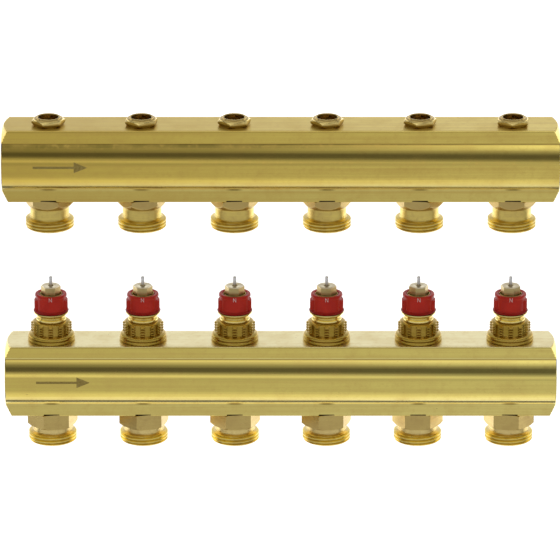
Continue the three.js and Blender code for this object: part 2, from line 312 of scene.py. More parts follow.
class Surface(Nodes):
    """A material's node tree, with short calls for its shader."""

    def __init__(self, name):
        self.material = bpy.data.materials.new(name)
        self.material.use_nodes = True
        super().__init__(self.material.node_tree)
        self.shader = self.tree.nodes["Principled BSDF"]

    def set(self, **values):
        """Sets the shader's own sockets; an underscore in a name stands for a space."""
        for key, value in values.items():
            self.shader.inputs[key.replace("_", " ")].default_value = value

    def finish(self, colour, roughness, height=None, distance=MM):
        """Joins colour, roughness and surface relief to the shader, and gives the material."""
        self.link(colour, self.shader.inputs["Base Color"])
        self.link(roughness, self.shader.inputs["Roughness"])
        if height is not None:
            node = self.add("ShaderNodeBump")
            node.inputs["Distance"].default_value = distance
            node.inputs["Strength"].default_value = 1.0
            self.link(height, node.inputs["Height"])
            self.link(node.outputs[0], self.shader.inputs["Normal"])
        return self.material

    def coordinates(self, scale):
        """Object coordinates, shifted by a different amount on every piece, and stretched."""
        shift = self.add("ShaderNodeVectorMath", operation="MULTIPLY_ADD")
        shift.inputs[1].default_value = (1.7, 2.3, 1.1)
        self.link(self.add("ShaderNodeObjectInfo").outputs["Random"], shift.inputs[0])
        self.link(self.add("ShaderNodeTexCoord").outputs["Object"], shift.inputs[2])
        mapping = self.add("ShaderNodeMapping")
        mapping.inputs["Scale"].default_value = scale
        self.link(shift.outputs[0], mapping.inputs["Vector"])
        return mapping.outputs[0]

    def position(self, axis):
        """One coordinate of the point on its own piece, in millimetres."""
        return self.math("MULTIPLY", self.split("Object")[axis], 1000.0)

    def distance_to(self, value, place):
        """How far a value is from a place."""
        return self.math("ABSOLUTE", self.math("SUBTRACT", value, place))


def worn_brass(nodes, bright, stained, roughness, grain, grain_depth, stain_amount, corner_shade_and_dirt,
               shape=None, added_roughness=0.0):
    """Tool marks, slow changes of tone, small dark specks, and inner corners darkened by dirt and painted
    shade, on a brass colour.
    """
    speck_brown, shade_and_dirt_brown = (0.16, 0.09, 0.03), (0.24, 0.15, 0.045)
    nodes.set(Metallic=1.0)
    patches = nodes.noise(nodes.coordinates((70, 70, 70)), detail=4)
    marks = nodes.noise(nodes.coordinates(grain), detail=5, roughness=0.65)
    blotches = nodes.noise(nodes.coordinates((330, 330, 330)), detail=5, roughness=0.6)
    specks = nodes.noise(nodes.coordinates((620, 620, 620)), detail=2)
    stain = nodes.math("MULTIPLY", nodes.ramp(patches, 0.46, 0.72), stain_amount)
    colour = nodes.mix(stain, bright, stained)
    colour = nodes.mix(nodes.ramp(marks, 0.42, 0.75, 0.0, 0.3), colour, stained)
    colour = nodes.mix(nodes.ramp(blotches, 0.50, 0.72, 0.0, stain_amount), colour, stained)
    colour = nodes.mix(nodes.ramp(specks, 0.74, 0.80, 0.0, 0.6), colour, speck_brown)
    # Inner corners darker: partly dirt, partly painted shade.
    edges = nodes.add("ShaderNodeNewGeometry").outputs["Pointiness"]
    colour = nodes.mix(nodes.ramp(edges, 0.50, 0.42, 0.0, corner_shade_and_dirt), colour, shade_and_dirt_brown)
    rough = nodes.math("ADD", nodes.ramp(marks, 0.3, 0.7, roughness * 0.8, roughness * 1.25),
                       nodes.math("MULTIPLY", stain, 0.2))
    rough = nodes.math("ADD", rough, added_roughness)
    height = nodes.math("MULTIPLY", marks, grain_depth)
    if shape is not None:
        height = nodes.math("ADD", height, shape)
    return nodes.finish(colour, rough, height)


def turned_brass(name, bright, stained, roughness, painted_light_bands=(), stain_amount=0.4):
    """Turned brass with marks round its axis, and bands of painted light and shade, each (from height, to
    height, colour).
    """
    nodes = Surface(name)
    colour = bright
    soft = 0.15
    # Each band is painted light or painted shade: a lighter or darker tint over a range of heights.
    for low, high, painted_band_tint in painted_light_bands:
        height = nodes.position("Z")
        inside = nodes.math("MULTIPLY", nodes.ramp(height, low - soft, low + soft),
                            nodes.ramp(height, high + soft, high - soft))
        colour = nodes.mix(inside, colour, painted_band_tint)
    return worn_brass(nodes, colour, stained, roughness, (60, 60, 2200), 0.02, stain_amount, 0.35)


def drawn_brass(name, left, right, stained, roughness, crease_shade_and_dirt, painted_crease_highlight, painted_shade_strips, painted_underside_sheen, underside_sheen_tint,
                painted_top_sheen):
    """Drawn brass, paler to the right, with painted sheen below, lengthwise streaks and a slight twist.

    The crease strengths are those of the dark line in a crease, which is dirt and painted shade, and
    of the painted highlight beside it, each for the upper and the lower crease. A strip of painted
    shade tints the brass darker, and is (from height, to height, soft edge of each, starting place,
    factor up to there, factor at the right end). The painted underside sheen and its tint lighten the
    underside of the bulge, and the painted top sheen whitens the dull top face.
    """
    shade_and_grime_tint, painted_highlight_tint = (0.16, 0.10, 0.01), (1.0, 0.88, 0.36)
    port_crease_tint, top_sheen_tint = (0.22, 0.15, 0.02), (0.95, 0.86, 0.50)
    nodes = Surface(name)
    along, height = nodes.position("X"), nodes.position("Z")
    colour = nodes.mix(nodes.ramp(along, -BAR["tone_reach"], BAR["tone_reach"]), left, right)
    # Painted sheen: the underside of the bulge is lighter, standing in for its reflection.
    on_bulge = nodes.ramp(height, -13.0, -12.7, 0.25, 1.0)
    underside_sheen_mask = nodes.math("MULTIPLY", nodes.ramp(height, -7.0, -11.0, 0.0, painted_underside_sheen), on_bulge)
    colour = nodes.mix(underside_sheen_mask, colour, underside_sheen_tint)
    streaks = nodes.noise(nodes.coordinates((5, 420, 420)), detail=4, roughness=0.6)
    colour = nodes.mix(nodes.ramp(streaks, 0.45, 0.75, 0.0, 0.5), colour, stained)
    crease = math.sqrt(BAR["bulge_radius"] ** 2 - BAR["half_depth"] ** 2)
    beside = crease + 0.6
    # Dark line in each crease: dirt and painted shade.
    for side, shade_and_dirt_strength, painted_highlight_strength in ((1, crease_shade_and_dirt[0], painted_crease_highlight[0]), (-1, crease_shade_and_dirt[1], painted_crease_highlight[1])):
        off_crease = nodes.distance_to(height, side * crease)
        colour = nodes.mix(nodes.ramp(off_crease, 0.5, 0.2, 0.0, shade_and_dirt_strength), colour, shade_and_grime_tint)
        # Painted highlight: a bright line beside each crease.
        off_line = nodes.distance_to(height, side * beside)
        colour = nodes.mix(nodes.ramp(off_line, 0.35, 0.15, 0.0, painted_highlight_strength), colour, painted_highlight_tint)
    # Strips of painted shade, dimmer towards one end of the bar.
    for low, high, soft_low, soft_high, start, left_factor, right_factor in painted_shade_strips:
        inside = nodes.math("MULTIPLY", nodes.ramp(height, low, low + soft_low),
                            nodes.ramp(height, high, high - soft_high))
        loss = nodes.ramp(along, start, BAR["tone_reach"], 1 - left_factor, 1 - right_factor)
        colour = nodes.mix(nodes.math("MULTIPLY", inside, loss), colour, (0.0, 0.0, 0.0))
    # Darker on the lower crease near each port.
    from_port = nodes.math("PINGPONG", nodes.math("ADD", along, PORT_PITCH / 2), PORT_PITCH / 2)
    at_port = nodes.ramp(from_port, 5.0, 1.5)
    on_crease = nodes.ramp(nodes.distance_to(height, -crease), 0.9, 0.2)
    port_crease_darkening = nodes.math("MULTIPLY", nodes.math("MULTIPLY", at_port, on_crease), 0.9)
    colour = nodes.mix(port_crease_darkening, colour, port_crease_tint)
    # Painted sheen: the top face is whitened, standing in for its bright reflection.
    on_top = nodes.ramp(height, 19.6, 19.95)
    colour = nodes.mix(nodes.math("MULTIPLY", on_top, painted_top_sheen), colour, top_sheen_tint)
    twist = nodes.math("MULTIPLY", nodes.math("MULTIPLY", along, height), -0.00022)
    return worn_brass(nodes, colour, stained, roughness, (9, 1100, 1100), 0.012, 0.3, 0.1, twist,
                      nodes.math("MULTIPLY", on_top, 0.22))


def red_plastic():
    """Moulded red plastic with a faint orange-peel surface and scuffed tone."""
    nodes = Surface("red_plastic")
    clouds = nodes.noise(nodes.coordinates((160, 160, 90)), detail=3)
    colour = nodes.mix(nodes.ramp(clouds, 0.35, 0.7), (0.56, 0.028, 0.014), (0.46, 0.020, 0.011))
    scuffs = nodes.noise(nodes.coordinates((300, 300, 1500)), detail=4)
    colour = nodes.mix(nodes.ramp(scuffs, 0.66, 0.78, 0.0, 0.25), colour, (0.62, 0.09, 0.06))
    # Painted shade: the ring's flared lip is darker at the bottom, where it faces down.
    lip = nodes.ramp(nodes.position("Z"), 38.2, 37.4, 0.0, 0.55)
    colour = nodes.mix(lip, colour, (0.22, 0.008, 0.006))
    nodes.set(Specular_IOR_Level=0.15)
    return nodes.finish(colour, nodes.ramp(clouds, 0.3, 0.7, 0.26, 0.36), scuffs, 0.012 * MM)


def white_print():
    """Worn white paint in the marks of the red rings."""
    nodes = Surface("white_print")
    wear = nodes.noise(nodes.coordinates((1400, 1400, 1400)), detail=3)
    colour = nodes.mix(nodes.ramp(wear, 0.42, 0.68), (0.80, 0.62, 0.60), (0.62, 0.30, 0.27))
    return nodes.finish(colour, nodes.ramp(wear, 0.3, 0.7, 0.4, 0.6))


def steel():
    """Ground stainless steel with fine marks round the pin, darker where it slides in its seal."""
    nodes = Surface("ground_steel")
    nodes.set(Metallic=1.0)
    marks = nodes.noise(nodes.coordinates((300, 300, 3500)), detail=3)
    colour = nodes.mix(nodes.ramp(marks, 0.3, 0.7), (0.85, 0.85, 0.85), (0.64, 0.64, 0.63))
    in_seal = nodes.ramp(nodes.position("Z"), 54.5, 51.0, 0.0, 0.85)
    colour = nodes.mix(in_seal, colour, (0.42, 0.35, 0.24))
    return nodes.finish(colour, nodes.ramp(marks, 0.3, 0.7, 0.25, 0.42), marks, 0.01 * MM)


def black_rubber():
    """Matte black seal rubber with a dusty bloom."""
    nodes = Surface("seal_rubber")
    bloom = nodes.noise(nodes.coordinates((500, 500, 500)), detail=4)
    colour = nodes.mix(nodes.ramp(bloom, 0.4, 0.7), (0.012, 0.012, 0.012), (0.035, 0.033, 0.03))
    return nodes.finish(colour, nodes.ramp(bloom, 0.3, 0.7, 0.55, 0.75), bloom, 0.02 * MM)


def etched_mark():
    """Darkened, matt brass of a laser-marked sign."""
    nodes = Surface("etched_mark")
    nodes.set(Metallic=0.6)
    burn = nodes.noise(nodes.coordinates((900, 900, 900)), detail=4)
    colour = nodes.mix(nodes.ramp(burn, 0.35, 0.7), (0.30, 0.21, 0.045), (0.42, 0.32, 0.09))
    return nodes.finish(colour, nodes.ramp(burn, 0.3, 0.7, 0.45, 0.6), burn, 0.02 * MM)


MATERIALS = {
    # The bars carry painted shade and light: crease lines, highlights, shade strips and sheens.
    "supply_bar": drawn_brass(
        "brass_supply_bar", (0.70, 0.52, 0.100), (0.89, 0.71, 0.180), (0.62, 0.42, 0.10), 0.12,
        crease_shade_and_dirt=(0.7, 0.0), painted_crease_highlight=(0.0, 0.4),
        painted_shade_strips=[(1.8, 7.0, 1.6, 1.6, -140, 0.75, 0.50),
               (9.2, 13.0, 2.3, 0.3, -20, 0.28, 1.00),
               (19.0, 19.8, 0.24, 0.24, -140, 0.80, 0.80)],
        painted_underside_sheen=0.9, underside_sheen_tint=(0.60, 0.54, 0.24), painted_top_sheen=0.0),
    "return_bar": drawn_brass(
        "brass_return_bar", (0.80, 0.64, 0.155), (0.93, 0.78, 0.220), (0.70, 0.50, 0.14), 0.085,
        crease_shade_and_dirt=(0.6, 0.05), painted_crease_highlight=(0.8, 0.3),
        painted_shade_strips=[(1.8, 7.0, 1.6, 1.6, -140, 1.00, 0.65),
               (9.0, 12.6, 1.1, 1.1, -140, 0.80, 1.00),
               (19.0, 19.8, 0.24, 0.24, -140, 0.75, 0.75)],
        painted_underside_sheen=1.0, underside_sheen_tint=(0.97, 0.85, 0.37), painted_top_sheen=1.0),
    # Height bands: painted shade on hexagons, valve bases and castles; painted light on necks, chamfers,
    # crowns.
    "supply_nipple": turned_brass("brass_supply_nipple", (0.84, 0.66, 0.180), (0.50, 0.34, 0.12), 0.32,
                                  [(-25.7, -20.0, (0.60, 0.45, 0.160))]),
    "return_nipple": turned_brass("brass_return_nipple", (0.96, 0.75, 0.18), (0.50, 0.34, 0.12), 0.30,
                                  [(-28.8, -20.0, (0.68, 0.51, 0.175)),
                                   (-32.3, -28.8, (0.96, 0.76, 0.31))]),
    "collar": turned_brass("brass_collar", (0.60, 0.44, 0.14), (0.40, 0.25, 0.07), 0.2,
                           [(10.0, 21.4, (0.30, 0.19, 0.035)), (21.6, 23.4, (0.84, 0.66, 0.24))]),
    "spindle": turned_brass("brass_spindle", (0.30, 0.15, 0.035), (0.18, 0.08, 0.02), 0.32),
    "valve": turned_brass("brass_valve", (1.0, 0.84, 0.32), (0.60, 0.40, 0.10), 0.2,
                          [(10.0, 24.3, (0.46, 0.32, 0.050)), (24.3, 31.3, (0.38, 0.25, 0.033))]),
    "gland": turned_brass("brass_gland", (0.57, 0.46, 0.21), (0.38, 0.26, 0.09), 0.36,
                          [(50.55, 52.0, (0.84, 0.76, 0.55))]),
    "red": red_plastic(),
    "print": white_print(),
    "steel": steel(),
    "rubber": black_rubber(),
    "mark": etched_mark(),
}


# ---- Bars --------------------------------------------------------------------------------------

def bar_section():
    """The bar's outline as (angle, radius), anticlockwise, with rounded corners."""
    crease = math.acos(BAR["half_depth"] / BAR["bulge_radius"])
    edge = BAR["edge_radius"]
    quarter = []
    for angle in steps(0, crease, 18):
        quarter.append((BAR["bulge_radius"] * math.cos(angle), BAR["bulge_radius"] * math.sin(angle)))
    crease_height = quarter[-1][1]
    corner_height = BAR["half_height"] - edge
    for height in steps(crease_height, corner_height, 4)[1:]:
        quarter.append((BAR["half_depth"], height))
    for angle in steps(0, math.pi / 2, 5)[1:]:
        across = BAR["half_depth"] - edge + edge * math.cos(angle)
        quarter.append((across, corner_height + edge * math.sin(angle)))
    for depth in steps(BAR["half_depth"] - edge, 0, 6)[1:]:
        quarter.append((depth, BAR["half_height"]))
    half = quarter + [(-across, up) for across, up in reversed(quarter[:-1])]
    outline = half + [(-across, -up) for across, up in half[1:-1]]
    return [(math.atan2(up, across) % TURN, math.hypot(across, up)) for across, up in outline]


def bar_mesh(name, half_length):
    """The drawn bar with turned end chamfers and a threaded socket in each end."""
    section = dict(bar_section())
    angles = list(section)
    face = BAR["end_face_radius"]
    slope = 1 / BAR["end_chamfer_slope"]

    def outside(angle, along):
        chamfer = face + slope * (half_length - abs(along))
        return min(section[angle], chamfer)

    chamfer_length = (max(section.values()) - face) / slope
    inner_end = half_length - BAR["socket_depth"]
    pitch_steps = 8
    thread_steps = round(BAR["socket_depth"] / BAR["socket_pitch"] * pitch_steps)
    thread = thread_radius(BAR["socket_crest"], BAR["socket_root"], BAR["socket_pitch"],
                           inner_end + 1.0, half_length + 2.0, 1.0)
    mouth = BAR["socket_root"] + 0.35

    def socket(angle, along):
        flare = mouth - 1.2 * (half_length - abs(along))
        return max(thread(angle, abs(along)), flare)

    outer = [(along, outside) for along in steps(-half_length, -half_length + chamfer_length, 10)]
    outer += [(along, outside) for along in steps(-half_length + chamfer_length + 2, 0, 6)]
    outer += [(-along, radius) for along, radius in reversed(outer[:-1])]
    thread_rows = [(along, socket) for along in steps(half_length, inner_end, thread_steps)]
    waterway = [(inner_end - 1.0, BAR["waterway_radius"]), (-inner_end + 1.0, BAR["waterway_radius"])]
    inner = thread_rows + waterway + [(-along, radius) for along, radius in reversed(thread_rows)]
    return polar_mesh(name, outer + inner, angles, closed=True, along_x=True)


def drills(name, places, radius, low, high, count=64):
    """One cutter object made of a round drill at each place."""
    joined = bmesh.new()
    for where in places:
        mesh = polar_mesh(name, [(low, 0), (low, radius), (high, radius), (high, 0)], even_angles(count))
        start = len(joined.verts)
        joined.from_mesh(mesh)
        joined.verts.ensure_lookup_table()
        bmesh.ops.translate(joined, vec=(where, 0, 0), verts=joined.verts[start:])
        bpy.data.meshes.remove(mesh)
    mesh = bpy.data.meshes.new(name)
    joined.to_mesh(mesh)
    joined.free()
    return bpy.data.objects.new(name, mesh)


def cut(piece, cutter):
    """Cuts one object out of another for good."""
    bpy.context.scene.collection.objects.link(cutter)
    modifier = piece.modifiers.new("cut", "BOOLEAN")
    modifier.operation = "DIFFERENCE"
    modifier.solver = "EXACT"
    modifier.object = cutter
    bpy.context.view_layer.update()
    evaluated = piece.evaluated_get(bpy.context.evaluated_depsgraph_get())
    mesh = bpy.data.meshes.new_from_object(evaluated)
    piece.modifiers.remove(modifier)
    piece.data = mesh
    bpy.data.objects.remove(cutter)


def make_bar(node, top_hole, material, shank):
    """A bar with its port holes and the spot face under every port."""
    low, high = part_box(node)
    half_length = (high.x - low.x) / 2 / MM
    piece = bpy.data.objects.new(f"{node}_drawn", bar_mesh(node, half_length))
    bpy.context.scene.collection.objects.link(piece)
    ports = [middle(f"{top_hole}_{number}").x for number in CIRCUITS]
    floor = -BAR["half_height"]
    cut(piece, drills("top_holes", ports, shank + FIT_GAP, DRILL_END, CUT_OVERSHOOT - floor))
    cut(piece, drills("bottom_holes", ports, NIPPLE_SHANK + FIT_GAP, floor - CUT_OVERSHOOT, -DRILL_END))
    cut(piece, drills("spot_faces", ports, BAR["spot_face_radius"], floor - CUT_OVERSHOOT,
                      floor + BAR["spot_face_depth"], 96))
    piece.data.name = piece.name
    piece.data.materials.clear()
    piece.data.materials.append(material)
    finish_mesh(piece.data, 20)
    piece.location = (0, 0, middle(node).z)
    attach(piece, ROOT)
    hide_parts(node)


def flow_mark(bar_node, left_end, height):
    """A plain flow arrow marked on the bar's round front, in place of any maker's sign."""
    shaft_length, shaft_width, head_length, head_width = 22.0, 1.3, 7.0, 6.0
    radius = BAR["bulge_radius"] + 0.02
    mesh_tool = bmesh.new()

    def strip(start, end, width_start, width_end, count=8):
        rows = []
        for share in steps(0, 1, count):
            along = start + (end - start) * share
            half = (width_start + (width_end - width_start) * share) / 2
            row = []
            for side in steps(-1, 1, 6):
                angle = (height + side * half) / radius
                row.append(mesh_tool.verts.new(
                    (along * MM, -radius * math.cos(angle) * MM, radius * math.sin(angle) * MM)))
            rows.append(row)
        for low, high in zip(rows, rows[1:]):
            for k in range(len(low) - 1):
                mesh_tool.faces.new((low[k], high[k], high[k + 1], low[k + 1]))

    strip(left_end, left_end + shaft_length, shaft_width, shaft_width)
    strip(left_end + shaft_length, left_end + shaft_length + head_length, head_width, 0.2)
    name = f"{bar_node}_flow_mark"
    mesh = bpy.data.meshes.new(name)
    mesh_tool.to_mesh(mesh)
    mesh_tool.free()
    mark = place(name, mesh, MATERIALS["mark"], (0, 0, middle(bar_node).z), ROOT, bar_node)
    thick = mark.modifiers.new("thickness", "SOLIDIFY")
    thick.thickness = 0.03 * MM
    thick.offset = 0


# ---- Nipples -----------------------------------------------------------------------------------

def nipple_mesh(name, hex_bottom, chamfer_radius, chamfer_slope):
    """A nipple: seat and shank, hexagon, neck, G 3/4 thread and Eurocone mouth."""
    top, bottom, neck = NIPPLE_THREAD["top"], NIPPLE_THREAD["bottom"], NIPPLE_NECK
    thread = thread_radius(NIPPLE_THREAD["crest"], NIPPLE_THREAD["root"], NIPPLE_THREAD["pitch"],
                           bottom - 1, top + 0.9, 0.5)
    threaded = smaller(thread, cone(bottom, 11.6, 1.35), cone(top, 12.6, -1.2))
    flats = hex_radius(NIPPLE_HEX_FLATS)
    low_chamfer = cone(hex_bottom, chamfer_radius, chamfer_slope)
    top_chamfer = cone(HEX_TOP, NIPPLE_HEX_FLATS / 2 + 1.1, -1.7)
    hexagon = smaller(flats, low_chamfer, top_chamfer)
    rows = [(bottom + 7, NIPPLE_BORE), (bottom + 0.25, 9.15), (bottom, 9.4), (bottom, 11.5)]
    rows += [(height, threaded) for height in steps(bottom + 0.1, top, 40)]
    rows += [(top + 0.15, 11.6), (top + 0.3, 11.0), (top + 0.55, neck + 0.18), (top + 0.9, neck)]
    rows += [(height, neck) for height in steps(top + 1.2, hex_bottom - 0.9, 3)]
    rows += [(hex_bottom - 0.5, neck + 0.08), (hex_bottom - 0.2, neck + 0.3)]
    rows += [(hex_bottom, neck + 0.7)]
    rows += [(height, hexagon) for height in steps(hex_bottom, hex_bottom + 2.4, 12)]
    rows += [(height, hexagon) for height in steps(hex_bottom + 2.8, HEX_TOP - 1.2, 3)]
    rows += [(height, hexagon) for height in steps(HEX_TOP - 0.9, HEX_TOP, 6)]
    rows += [(HEX_TOP, NIPPLE_SHANK), (SEAT_HEIGHT - 0.4, NIPPLE_SHANK)]
    rows += [(SEAT_HEIGHT - 0.1, 7.7), (SEAT_HEIGHT - 0.1, 7.0)]
    rows += [(SEAT_HEIGHT, 6.6), (SEAT_HEIGHT, 6.0), (SEAT_HEIGHT - 0.2, 5.6)]
    rows += [(SEAT_HEIGHT - 0.6, NIPPLE_BORE)]
    return polar_mesh(name, rows, even_angles(96), closed=True)


def gasket_mesh():
    """The flat seal between a nipple's hexagon and the spot face of the bar."""
    inner, outer, bottom, top = (GASKET[key] for key in ("inner", "outer", "bottom", "top"))
    rows = [(bottom, inner), (bottom, outer - 0.15), (bottom + 0.15, outer), (top - 0.15, outer)]
    rows += [(top, outer - 0.15), (top, inner)]
    return polar_mesh("nipple_gasket", rows, even_angles(64), closed=True)


def make_nipples(kind, bar_node, sizes):
    """The six nipples of a bar, each with its flat gasket."""
    mesh = nipple_mesh(f"{kind}_turned", sizes["hex_bottom"], *sizes["chamfer"])
    gasket = gasket_mesh()
    for number in CIRCUITS:
        node = f"{kind}_{number}"
        where = port_place(bar_node, node)
        place(f"{node}_turned", mesh, MATERIALS[kind], where, ROOT, "nipple", [node],
              sizes["turns"][number - 1])
        place(f"{node}_gasket", gasket, MATERIALS["rubber"], where, ROOT, "seal")


# ---- Shut-off inserts --------------------------------------------------------------------------

def collar_mesh():
    """The low hexagon collar with a rounded shoulder, a groove and a narrow rim round the opening."""
    flats = hex_radius(COLLAR["flats"])
    chamfer = cone(22.15, 9.3, -1.75)
    under = cone(BAR_TOP_FIT, 8.0, 1.1)
    hexagon = smaller(flats, chamfer, under)
    rows = [(11.0, 5.8), (11.0, 6.8), (11.2, COLLAR["shank"]), (BAR_TOP_FIT, COLLAR["shank"])]
    rows += [(height, hexagon) for height in steps(BAR_TOP_FIT, 22.1, 6)]
    rows += [(height, hexagon) for height in steps(22.2, 22.9, 6)]
    rows += [(22.95, 7.95), (23.15, 7.93), (23.35, 7.8), (23.5, 7.55), (23.58, 7.3), (23.6, 7.0)]
    rows += [(23.5, 6.8), (23.55, 6.66), (23.7, 6.6), (23.95, 6.55), (24.12, 6.45), (24.2, 6.3)]
    rows += [(24.2, 5.95), (24.1, 5.7), (23.9, COLLAR["bore"])]
    bore_thread = thread_radius(COLLAR["bore"], COLLAR["bore"] + 0.35, 1.0, 11.4, 21.5, 0.4)
    rows += [(height, bore_thread) for height in steps(21.5, 11.4, 50)]
    return polar_mesh("collar_turned", rows, even_angles(96), closed=True)


def spindle_mesh():
    """The spindle: threaded head with a hexagon socket, stem and swivel tip."""
    top, bottom, head = SPINDLE["head_top"], SPINDLE["head_bottom"], SPINDLE["head"]
    key = hex_radius(SPINDLE["key_flats"])
    plug_top = SEAT_HEIGHT + FIT_GAP + SPINDLE_TRAVEL + PLUG_THICKNESS
    stem_end = plug_top + FIT_GAP
    thread = thread_radius(head, head - 0.3, 1.0, bottom + 0.3, top - 0.5, 0.4)
    rows = [(stem_end - 2.1, 0), (stem_end - 2.1, 1.3), (stem_end - 1.9, 1.5), (stem_end, 1.5)]
    rows += [(stem_end, 2.8), (stem_end + 0.2, 3.0), (bottom, 3.0), (bottom, head - 0.4)]
    rows += [(height, thread) for height in steps(bottom + 0.3, top - 0.4, 40)]
    rows += [(top - 0.15, head - 0.15), (top, head - 0.4), (top, 3.95), (top - 0.25, 3.7)]
    rows += [(top - 0.5, key), (top - SPINDLE["key_depth"], key), (top - SPINDLE["key_depth"] - 0.8, 0)]
    return polar_mesh("spindle_turned", rows, even_angles(72))


def plug_mesh(name, travel, hole_radius, hole_depth):
    """A plug with rounded edges and a soft seat washer's groove, open by its travel."""
    bottom = SEAT_HEIGHT + FIT_GAP + travel
    top = bottom + PLUG_THICKNESS
    rows = [(bottom, 0), (bottom, 5.7), (bottom + 0.15, 6.05), (bottom + 0.45, 6.2), (bottom + 1.3, 6.2)]
    rows += [(bottom + 1.4, 5.95), (bottom + 1.6, 5.95), (bottom + 1.7, 6.2), (top - 0.3, 6.2), (top, 5.9)]
    rows += [(top, hole_radius + 0.2), (top - 0.2, hole_radius), (top - hole_depth, hole_radius)]
    rows += [(top - hole_depth - 0.3, 0)]
    return polar_mesh(name, rows, even_angles(48))


def make_shutoffs():
    """Collars, spindles, plugs and collar seals of the supply bar."""
    collar, spindle = collar_mesh(), spindle_mesh()
    plug = plug_mesh("shutoff_plug_turned", SPINDLE_TRAVEL, 1.8, 2.4)
    seal = ring_seal("collar_seal", COLLAR["shank"] + 0.32, BAR["half_height"] + 0.13, 0.22)
    for number in CIRCUITS:
        where = port_place("supply_bar", f"shutoff_insert_{number}")
        turn = COLLAR["turns"][number - 1]
        place(f"shutoff_collar_{number}", collar, MATERIALS["collar"], where, ROOT, "shutoff_insert",
              [f"shutoff_insert_{number}"], turn)
        place(f"shutoff_spindle_turned_{number}", spindle, MATERIALS["spindle"], where,
              f"spindle_{number}", "shutoff_spindle", [f"shutoff_spindle_{number}"])
        place(f"shutoff_plug_turned_{number}", plug, MATERIALS["spindle"], where, f"plug_{number}",
              "shutoff_spindle", [f"shutoff_plug_{number}"])
        place(f"collar_seal_{number}", seal, MATERIALS["rubber"], where, ROOT, "seal")


def ring_seal(name, radius, height, thickness):
    """An O-ring about Z."""
    rows = [(height + thickness * math.sin(a), radius + thickness * math.cos(a)) for a in even_angles(10)]
    return polar_mesh(name, rows, even_angles(64), closed=True)


# ---- Presetting valve inserts ------------------------------------------------------------------

def castle_radius(angle, height):
    """Twelve teeth with thread rungs, parted by smooth grooves."""
    pitch = TURN / CASTLE["teeth"]
    offset = abs((angle + pitch / 2) % pitch - pitch / 2) / pitch
    half_tooth = CASTLE["tooth_share"] / 2
    wall = clamp((offset - half_tooth + CASTLE["wall"] / 2) / CASTLE["wall"])
    rung = groove(height / CASTLE["rung_pitch"], 4.5, 0.7)
    tooth = CASTLE["crest"] - CASTLE["rung_depth"] * rung
    return tooth + (CASTLE["groove"] - tooth) * wall


def valve_mesh():
    """The valve insert from its shank in the bar to the tube that carries the red ring."""
    castle = smaller(castle_radius, cone(29.7, 11.25, -1.35), cone(24.9, 10.9, 1.6))
    bottom, shank = VALVE["bottom"], VALVE["shank"]
    rows = [(bottom, 2.7), (bottom, shank - 0.3), (bottom + 0.3, shank)]
    rows += [(BAR_TOP_FIT, shank), (BAR_TOP_FIT, 12.2)]
    rows += [(20.12, 12.45), (20.3, 12.7), (20.6, 12.85), (21.3, 12.9), (21.55, 12.8), (21.75, 12.55)]
    rows += [(21.9, 12.2), (22.05, 12.1), (22.2, 12.15), (22.35, 12.45), (22.55, 12.65), (22.9, 12.7)]
    rows += [(23.3, 12.6), (23.6, 12.4), (23.85, 12.05), (24.1, 11.5), (24.4, 10.8), (24.7, 10.35)]
    rows += [(height, castle) for height in steps(24.8, 31.0, 42)]
    rows += [(31.1, 9.1), (31.12, 8.6), (31.12, 8.0), (31.2, 7.9), (31.35, 8.0)]
    rows += [(31.6, 8.15), (32.1, 8.2), (32.5, 8.1), (32.75, 7.8), (32.95, 7.4), (33.15, 7.2)]
    rows += [(33.6, 7.2), (33.9, 7.35), (34.3, 7.75), (34.8, 8.35), (35.3, 9.05), (35.5, 9.25)]
    rows += [(35.65, 9.35), (36.0, 9.35), (36.15, 9.25), (36.2, 9.05), (36.2, 6.4), (36.4, 6.15)]
    rows += [(46.2, 6.15), (46.5, 6.0), (46.45, 5.88), (46.2, 5.8), (43.0, 5.8), (43.0, 2.6)]
    rows += [(42.8, 2.4), (34.0, 2.4), (34.0, 4.2), (12.0, 4.2), (12.0, 2.4), (bottom + 0.3, 2.4)]
    return polar_mesh("valve_body_turned", rows, even_angles(192), closed=True)


def in_pads(angle):
    """How much a point of the ring belongs to a grip pad on its left or right side."""
    half = math.radians(RING["pad_half_angle"])
    away = min(abs((angle + math.pi) % TURN - math.pi), abs(angle % TURN - math.pi))
    return clamp((half - away) / math.radians(2.5))


def rim_swell(_angle, height):
    """The ring's wall above its grip pads, which swells out to the rim."""
    low, high = RING["swell"]
    share = clamp((height - low) / (high - low))
    return RING["radius"] + (RING["rim"] - RING["radius"]) * share * share * (3 - 2 * share)


def ring_mesh():
    """The red ring: flared lip, fluted grip pads, a waist, a rounded rim and a lead-in at the bore."""
    def pad(angle, height):
        share = in_pads(angle) * clamp((RING["pad_top"] - height) / 0.3)
        flute = 0.12 * (1 - math.cos(angle * RING["pad_flutes"])) * share
        return RING["radius"] + (RING["pad_radius"] - RING["radius"]) * share - flute

    def lip(extra):
        return lambda angle, height: max(pad(angle, height), RING["radius"] + extra)

    rows = [(36.9, RING["bore"]), (36.7, RING["bore"] + 0.25), (36.7, 9.4), (36.78, 9.53), (36.95, 9.58)]
    rows += [(37.15, lip(1.2)), (37.35, lip(0.7)), (37.6, lip(0.25)), (37.9, lip(0.05))]
    rows += [(height, pad) for height in steps(38.3, 43.0, 6)]
    rows += [(height, pad) for height in steps(43.1, 43.5, 6)]
    rows += [(height, rim_swell) for height in steps(43.9, 45.9, 10)]
    corner, top = 0.55, RING["top"]
    for angle in steps(0, math.pi / 2, 6):
        reach = RING["rim"] - corner + corner * math.cos(angle)
        rows.append((top - corner + corner * math.sin(angle), reach))
    rows += [(top, 6.95), (top - 0.1, 6.72), (top - 0.35, RING["bore"])]
    return polar_mesh("preset_ring_moulded", rows, even_angles(192), closed=True)


